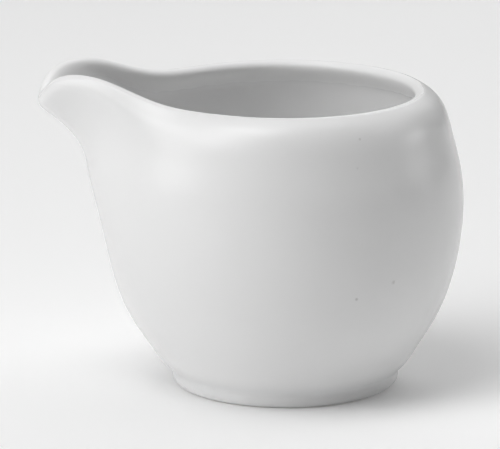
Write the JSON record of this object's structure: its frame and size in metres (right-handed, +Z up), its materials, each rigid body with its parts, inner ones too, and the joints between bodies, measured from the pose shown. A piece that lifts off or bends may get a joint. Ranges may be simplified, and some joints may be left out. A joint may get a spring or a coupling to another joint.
{
  "type": "cream jug",
  "caption": "Small round-bellied porcelain cream jug without a handle, with a pulled pouring spout, a softly rounded rim and a low foot ring, glazed inside and out.",
  "frame": {"origin": "centre of the round foot, on the plane that the jug stands on", "axes": "+Z up out of the mouth, -X towards the tip of the spout; the jug is symmetric about the XZ plane"},
  "size_m": [0.084, 0.0702, 0.0645],
  "materials": {
    "porcelain": "matte",
    "foot_porcelain": "gloss",
    "glaze_outside": "gloss",
    "glaze_inside": "gloss",
    "glaze_base": "gloss"
  },
  "bodies": {
    "root": {"porcelain_body": "porcelain", "foot_ring": "foot_porcelain", "outer_glaze": "glaze_outside", "liner_glaze": "glaze_inside", "base_glaze": "glaze_base"}
  },
  "joints": []
}
